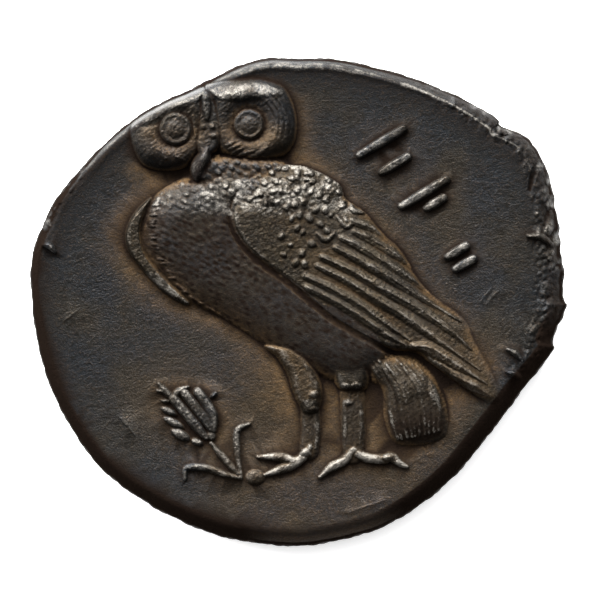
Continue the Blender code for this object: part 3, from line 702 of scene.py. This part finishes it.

# How dark: dark patina and painted shade in the cuts and between raised forms; painted shade on the
# rim's band, the beak's lower part, the tail's lower end and inside the rim; the shanks and the lower
# breast darker
FINE_BLUR = 3
BROAD_BLUR = 7
FINE_DEPTH = 0.000018
BROAD_DEPTH = 0.00006
SHADE_INSET = 0.00015
SHADE_WIDTH = 0.0006
detail = face_height - softened(face_height, FINE_BLUR)
broad = face_height - softened(face_height, BROAD_BLUR)
wing_shown = (wing > body) & (wing > LOW_FORM)
by_crescent = np.exp(-(((x + 385) / 100) ** 4) - ((y - 70) / 130) ** 4)
less_dark = laid_out((1 - 0.3 * wing_shown) * (1 - 0.35 * by_crescent))
dirt_and_shade = (0.6 * ramp(-detail, 0, FINE_DEPTH) + 0.3 * ramp(-broad, 0, BROAD_DEPTH)) * less_dark
dirt_and_shade = np.maximum(dirt_and_shade, band_dark * edge_band) * (1 - 0.75 * edge_band * flecks)
# Painted shade on the beak's lower part and on the tail's lower end, which face away from the lamps
beak_dark = 0.75 * ramp(-y, -BEAK[2][1] - 20, 30) * ramp(beak, 0, 0.4 * BEAK_RISE)
tail_dark = (0.35 + 0.45 * ramp(-y, 260, 100)) * ramp(tail, 0, 0.4 * TAIL_RISE)
tail_dark = tail_dark * (tail >= np.maximum(wing, body))
shank_dark = 0.5 * (shanks > LOW_FORM) * (shanks >= highest([thighs, toes, body]))
body_dark = (0.5 + 0.55 * strewn(15, 1.6, -30, 71)) * dull * (body > SLIGHT_FORM) * ramp(y, 300, -60)
dirt_and_shade = np.maximum(dirt_and_shade, laid_out(highest([beak_dark, tail_dark, shank_dark, body_dark])))
# Painted shade inside the raised rim, and on the inner side of the upper left lip to narrow its
# highlight; the top glint is kept clear
inside_rim = np.clip(0.4 + np.sin(turn) - 0.5 * np.minimum(np.cos(turn), 0), 0, 1)
inside_rim = inside_rim * beside(from_edge, reach + SHADE_INSET, SHADE_WIDTH, 2)
upper_left = beside(turn, 2.6, 0.5) * beside(from_edge, 1.1 * reach, 0.45 * reach)
shaded = np.maximum(inside_rim * laid_out(relief < LOW_FORM), upper_left)
dirt_and_shade = np.maximum(dirt_and_shade, np.maximum(0.5 * shaded, 0.7 * upper_left)) * (1 - top_glint)

# How warm the metal's own grey is: on the owl, and below it
WARM_HEIGHT = 0.0001
owl_warmth = ramp(owl, 0, WARM_HEIGHT) * (head < TRACE) * np.where(dull, 0.15, 1)
field_warmth = 0.7 * np.exp(-(((x - 110) / 330) ** 4) - ((y + 330) / 190) ** 4)
warmth = laid_out(np.maximum(0.85 * owl_warmth, field_warmth))

# How worn and painted bright: wear on the high places and on the rim's flecks and crumbs, painted light
# on the throat, a painted highlight along the upper rim's line and at its top, none in the painted shade
# of the rim's band
FINE_HEIGHT = 0.000022
BROAD_HEIGHT = 0.00007
WORN_INSET = 0.0003
wear_and_highlight = (0.7 * ramp(detail, 0, FINE_HEIGHT) + 0.5 * ramp(broad, 0, BROAD_HEIGHT)) * rubbed
# Near the edge little wear is kept, more on the upper rim as painted highlight
wear_and_highlight = wear_and_highlight * ramp(from_edge, reach, WORN_INSET, 0.1 + 0.6 * upper_rim)
# Painted light on the throat, lifting it out of the shade under the head
painted_throat_light = ramp(y, 235, 50) * ramp(y, 385, -25) * ramp(x, -345, 70)
painted_throat_light = 0.85 * painted_throat_light * ramp(np.maximum(body, wing), 0, FULL_FORM) * (head < TRACE)
painted_throat_light = painted_throat_light * (0.6 + strewn(16, 1.3, 30, 61))
wear_and_highlight = np.maximum(wear_and_highlight, laid_out(painted_throat_light)) * (1 - edge_band * (1 - 0.55 * upper_right))
wear_and_highlight = highest([wear_and_highlight, painted_rim_highlight, 0.7 * edge_band * flecks, 0.5 * crumbs, 0.8 * top_glint])

# How dirty: brown stays beside the relief, around the eyes, on the breast's margin and low down
STAIN_BLUR = 14
WIDE_STAIN_BLUR = 26
STAIN_DEPTH = 0.00008
WIDE_STAIN_DEPTH = 0.00006
STAIN_INSET = 0.0005
STAIN_FADE = 0.0007
MARGIN_HEIGHT = 0.00027
HEAD_SHOWN = 0.0003
toned = ramp(softened(face_height, STAIN_BLUR) - face_height, 0, STAIN_DEPTH)
toned = toned * ramp(from_edge, STAIN_INSET, STAIN_FADE)
behind_wing = ramp(x, -50, 150) * ramp(y, -200, 100) * (owl < TRACE)
toned = toned * (1 - 0.6 * laid_out(behind_wing))
wide_toned = 0.6 * ramp(softened(face_height, WIDE_STAIN_BLUR) - face_height, 0, WIDE_STAIN_DEPTH)
toned = np.maximum(toned, wide_toned * laid_out(ramp(-y, 100, 150)))
bare_below = (body < SLIGHT_FORM) * (tail < SLIGHT_FORM) * (shanks < LOW_FORM)
below = 0.25 * ramp(-y, 40, 120) * ramp(owl, 0, WARM_HEIGHT) * bare_below
from_eyes = np.minimum(from_left_eye, from_right_eye)
face_brown = 0.6 * ramp(head, 0, HEAD_SHOWN) * ramp(from_eyes, 42, 12, 0.3) * ramp(from_eyes, 128, -80)
face_brown = face_brown * (brows < 0.1 * BROW_RISE) * ramp(y, RIGHT_EYE[1] + 20, -40, 0.3)
breast_edge = 0.75 * (body > 0) * ramp(body, 1.5 * MARGIN_HEIGHT, -MARGIN_HEIGHT)
breast_edge = breast_edge * ramp(x, 60, -160) * ramp(y, 300, -60)
low_field = 0.24 * ramp(-y, 380, 80) * ramp(x, -350, 200)
toned = np.maximum(toned, laid_out(highest([below, face_brown, breast_edge, low_field])))

# The net itself: a grid, doubled into a closed box with an upright band of three rows around it
BAND_ROWS = 3
net = bmesh.new()
bmesh.ops.create_grid(net, x_segments=FACE_CELLS, y_segments=FACE_CELLS, size=1)
lifted = bmesh.ops.extrude_face_region(net, geom=net.faces[:], use_keep_orig=True)
upper_points = [item for item in lifted["geom"] if isinstance(item, bmesh.types.BMVert)]
bmesh.ops.translate(net, vec=(0, 0, 1), verts=upper_points)
uprights = [edge for edge in net.edges if abs(edge.verts[0].co.z - edge.verts[1].co.z) > 0.5]
bmesh.ops.subdivide_edges(net, edges=uprights, cuts=BAND_ROWS - 1, use_grid_fill=True)
bmesh.ops.recalc_face_normals(net, faces=net.faces[:])
bmesh.ops.triangulate(net, faces=net.faces[:])
dense_mesh = bpy.data.meshes.new("dense coin")
net.to_mesh(dense_mesh)
net.free()

# Every point goes to its place, at millimetre size while the net is thinned on smooth metal
MILLIMETRE = 0.001
TRIANGLES = 192000
spots = np.zeros(len(dense_mesh.vertices) * 3, np.float32)
dense_mesh.vertices.foreach_get("co", spots)
across, up, level = spots.reshape(-1, 3).astype(float).T
index_a = np.rint((across + 1) / 2 * FACE_CELLS).astype(int)
index_b = np.rint((up + 1) / 2 * FACE_CELLS).astype(int)
top = level > 0.99
bottom = level < 0.01
band = ~top & ~bottom
height = np.where(top, face_height[index_a, index_b], under_height[index_a, index_b])
band_turn = turn[index_a, index_b]
waves = np.sin(band_turn * 47 + level * 5) + np.sin(band_turn * 83 + level * 9 + 1)
rough = SIDE_ROUGHNESS * waves / 2
height = np.where(band, FIELD_THICKNESS / 2 + (level - 0.5) * SIDE_BAND, height)
outward = 1 + np.where(band, (SIDE_BULGE + rough) / radius[index_a, index_b], 0)
finished = np.stack(
    [place_x[index_a, index_b] * outward, place_y[index_a, index_b] * outward, height], axis=1
)
dense_mesh.vertices.foreach_set("co", (finished / MILLIMETRE).astype(np.float32).ravel())
# The coin's side is painted half dark as shade, and a little brown
ON_THE_SIDE = {"wear_and_highlight": 0, "dirt_and_shade": 0.55, "toned": 0.2, "shaded": 0, "warmth": 0}
for (name, side), values in zip(ON_THE_SIDE.items(), (wear_and_highlight, dirt_and_shade, toned, shaded, warmth)):
    layer = dense_mesh.attributes.new(name, "FLOAT", "POINT")
    layer.data.foreach_set("value", np.where(top, values[index_a, index_b], side).astype(np.float32))
dense_mesh.update()
dense = bpy.data.objects.new("dense coin", dense_mesh)
bpy.context.scene.collection.objects.link(dense)
thin = dense.modifiers.new("thin out", "DECIMATE")
thin.ratio = TRIANGLES / len(dense_mesh.polygons)
graph = bpy.context.evaluated_depsgraph_get()
coin_mesh = bpy.data.meshes.new_from_object(dense.evaluated_get(graph))
bpy.data.objects.remove(dense, do_unlink=True)
coin_mesh.transform(Matrix.Scale(MILLIMETRE, 4))
coin_mesh.name = "struck coin"
coin_mesh.polygons.foreach_set("use_smooth", [True] * len(coin_mesh.polygons))
coin = bpy.data.objects.new("struck_coin", coin_mesh)
bpy.context.scene.collection.objects.link(coin)

# Silver darkened by age: grey black in the open, brown beside the relief, bright where it is worn and
# where highlights are painted, near black in dark patina and painted shade
GUNMETAL = (0.0218, 0.0196, 0.0165, 1)
BLUE_SHEEN = (0.0158, 0.0172, 0.0190, 1)
BROWN = (0.080, 0.047, 0.020, 1)
NIGHT_BLUE = (0.0095, 0.0108, 0.0118, 1)
WARM_METAL = (0.0225, 0.0178, 0.0118, 1)
SOOT = (0.012, 0.0105, 0.009, 1)
CREVICE = (0.006, 0.004, 0.003, 1)
BRIGHT = (0.14, 0.13, 0.115, 1)
GRAIN_DEPTH = 0.000019
silver = bpy.data.materials.new("darkened silver")
silver.use_nodes = True
tree = silver.node_tree
surface = tree.nodes["Principled BSDF"]
surface.inputs["IOR"].default_value = 1.0
coordinates = tree.nodes.new("ShaderNodeTexCoord").outputs["Object"]


def join(value, socket):
    """Sets a socket to a value, or links it to an output."""
    if isinstance(value, bpy.types.NodeSocket):
        tree.links.new(value, socket)
    else:
        socket.default_value = value


def noise(scale, detail_levels, roughness):
    """Cloudy noise in the metal, scale in patches per metre."""
    node = tree.nodes.new("ShaderNodeTexNoise")
    tree.links.new(coordinates, node.inputs["Vector"])
    node.inputs["Scale"].default_value = scale
    node.inputs["Detail"].default_value = detail_levels
    node.inputs["Roughness"].default_value = roughness
    return node.outputs["Fac"]


def spread(value, low, high, to_low=0, to_high=1):
    """Maps a range of a value to another, held at its ends."""
    node = tree.nodes.new("ShaderNodeMapRange")
    join(value, node.inputs["Value"])
    node.inputs["From Min"].default_value = low
    node.inputs["From Max"].default_value = high
    node.inputs["To Min"].default_value = to_low
    node.inputs["To Max"].default_value = to_high
    return node.outputs["Result"]


def compute(operation, one, other):
    """A sum, product or other combination of two values."""
    node = tree.nodes.new("ShaderNodeMath")
    node.operation = operation
    join(one, node.inputs[0])
    join(other, node.inputs[1])
    return node.outputs["Value"]


def blend(share, under, over):
    """One colour over another by a share."""
    node = tree.nodes.new("ShaderNodeMix")
    node.data_type = "RGBA"
    join(share, node.inputs["Factor"])
    join(under, node.inputs["A"])
    join(over, node.inputs["B"])
    return node.outputs["Result"]


def layer_value(name):
    """A value stored in the coin's mesh."""
    node = tree.nodes.new("ShaderNodeAttribute")
    node.attribute_name = name
    return node.outputs["Fac"]


patches = noise(640, 3, 0.55)
mottling = noise(2600, 4, 0.6)
fine = noise(8000, 3, 0.6)
pits = noise(20000, 3, 0.7)
broken = compute("MULTIPLY", spread(mottling, 0.38, 0.6, 0.3, 1.25), spread(pits, 0.35, 0.62, 0.35, 1.2))
wear_and_highlight_here = compute("MULTIPLY", layer_value("wear_and_highlight"), broken)
dirt_and_shade_here = layer_value("dirt_and_shade")
grainy = compute("MULTIPLY", spread(mottling, 0.3, 0.65, 0.5, 1.1), spread(pits, 0.36, 0.64, 0.55, 1.3))
toned_here = compute("MULTIPLY", layer_value("toned"), grainy)
open_metal = blend(spread(patches, 0.38, 0.58), GUNMETAL, BLUE_SHEEN)
warm_here = compute("MULTIPLY", layer_value("warmth"), spread(mottling, 0.3, 0.6, 0.6, 1))
open_metal = blend(warm_here, open_metal, WARM_METAL)
# Painted shade inside the rim turns the metal dark blue grey
open_metal = blend(layer_value("shaded"), open_metal, NIGHT_BLUE)
speckled = blend(spread(pits, 0.52, 0.72, 0, 0.35), open_metal, BROWN)
speckled = blend(spread(fine, 0.5, 0.66, 0, 0.7), speckled, SOOT)
toned_here = compute("MULTIPLY", toned_here, spread(layer_value("shaded"), 0, 0.6, 1, 0.3))
with_brown = blend(compute("MULTIPLY", toned_here, 0.7), speckled, BROWN)
# Near black for patina in the hollows and for painted shade
with_dirt_and_shade = blend(spread(dirt_and_shade_here, 0.2, 0.9), with_brown, CREVICE)
# Bright for wear and for painted highlights
finished_colour = blend(spread(wear_and_highlight_here, 0.25, 1.1, 0, 0.8), with_dirt_and_shade, BRIGHT)
join(finished_colour, surface.inputs["Base Color"])
metal_outside_dirt_and_shade = spread(dirt_and_shade_here, 0.2, 0.9, 0.9, 0)
metal_left = compute("MINIMUM", metal_outside_dirt_and_shade, spread(toned_here, 0, 0.8, 0.9, 0.3))
join(metal_left, surface.inputs["Metallic"])
smear = spread(mottling, 0.3, 0.7, -0.05, 0.08)
roughness = compute("ADD", spread(dirt_and_shade_here, 0.1, 0.9, 0.34, 0.6), smear)
join(roughness, surface.inputs["Roughness"])
bump = tree.nodes.new("ShaderNodeBump")
bump.inputs["Strength"].default_value = 0.8
bump.inputs["Distance"].default_value = GRAIN_DEPTH
dents = compute("ADD", compute("MULTIPLY", pits, 1.5), compute("MULTIPLY", fine, 1.3))
dents = compute("ADD", dents, compute("MULTIPLY", mottling, 0.8))
join(dents, bump.inputs["Height"])
join(bump.outputs["Normal"], surface.inputs["Normal"])
coin_mesh.materials.clear()
coin_mesh.materials.append(silver)
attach(coin, "root")
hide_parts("coin")

# The table: plain pale paper
FLOOR_SIZE = 0.6
PAPER_WHITE = (0.93, 0.93, 0.93, 1)
PAPER_GLOW = 0.6
floor_net = bmesh.new()
bmesh.ops.create_grid(floor_net, x_segments=1, y_segments=1, size=FLOOR_SIZE / 2)
floor_mesh = bpy.data.meshes.new("floor")
floor_net.to_mesh(floor_mesh)
floor_net.free()
floor = bpy.data.objects.new("floor", floor_mesh)
bpy.context.scene.collection.objects.link(floor)
paper = bpy.data.materials.new("pale paper")
paper.use_nodes = True
paper_surface = paper.node_tree.nodes["Principled BSDF"]
paper_surface.inputs["Base Color"].default_value = PAPER_WHITE
paper_surface.inputs["Roughness"].default_value = 0.9
paper_surface.inputs["Specular IOR Level"].default_value = 0.1
paper_surface.inputs["Emission Color"].default_value = (1, 1, 1, 1)
paper_surface.inputs["Emission Strength"].default_value = PAPER_GLOW
floor_mesh.materials.append(paper)

# Soft studio light: a long soft box at the top of the picture and a weaker one at its left
def soft_box(name, place, size, power, aim=(0, 0, 0.001)):
    """A rectangular lamp that faces the coin."""
    lamp = bpy.data.lights.new(name, "AREA")
    lamp.shape = "RECTANGLE"
    lamp.size, lamp.size_y = size
    lamp.energy = power
    stand = bpy.data.objects.new(name, lamp)
    bpy.context.scene.collection.objects.link(stand)
    stand.location = place
    stand.rotation_euler = (Vector(aim) - Vector(place)).to_track_quat("-Z", "Y").to_euler()


soft_box("top soft box", (-0.05, 0.21, 0.12), (0.34, 0.05), 4.2)
soft_box("left soft box", (-0.22, 0.08, 0.10), (0.06, 0.06), 0.4)

# The room is pale towards the top of the picture and darker towards its lower right
world = bpy.data.worlds.new("pale room")
bpy.context.scene.world = world
world.use_nodes = True
room = world.node_tree
direction = room.nodes.new("ShaderNodeTexCoord").outputs["Generated"]
towards = room.nodes.new("ShaderNodeVectorMath")
towards.operation = "DOT_PRODUCT"
towards.inputs[1].default_value = (-0.24, 0.92, 0.30)
room.links.new(direction, towards.inputs[0])
glow = room.nodes.new("ShaderNodeMapRange")
glow.interpolation_type = "SMOOTHSTEP"
glow.inputs["From Min"].default_value = -0.15
glow.inputs["From Max"].default_value = 1.0
glow.inputs["To Min"].default_value = 0.10
glow.inputs["To Max"].default_value = 2.7
room.links.new(towards.outputs["Value"], glow.inputs["Value"])
room.links.new(glow.outputs["Result"], room.nodes["Background"].inputs["Strength"])
room.nodes["Background"].inputs["Color"].default_value = (1, 1, 1, 1)

# The camera looks straight down on the face, eighteen millimetres across the picture
PICTURE_WIDTH = 0.018
CAMERA_RISE = 0.2
CAMERA_SHIFT = (0.000045, 0.00006)
eye_data = bpy.data.cameras.new("camera")
eye_data.sensor_width = 36
eye_data.lens = eye_data.sensor_width * CAMERA_RISE / PICTURE_WIDTH
eye_data.clip_start = 0.01
eye_data.clip_end = 10
camera = bpy.data.objects.new("camera", eye_data)
bpy.context.scene.collection.objects.link(camera)
camera.location = (*CAMERA_SHIFT, CAMERA_RISE + FIELD_THICKNESS)
bpy.context.scene.camera = camera
bpy.context.scene.view_settings.view_transform = "Standard"
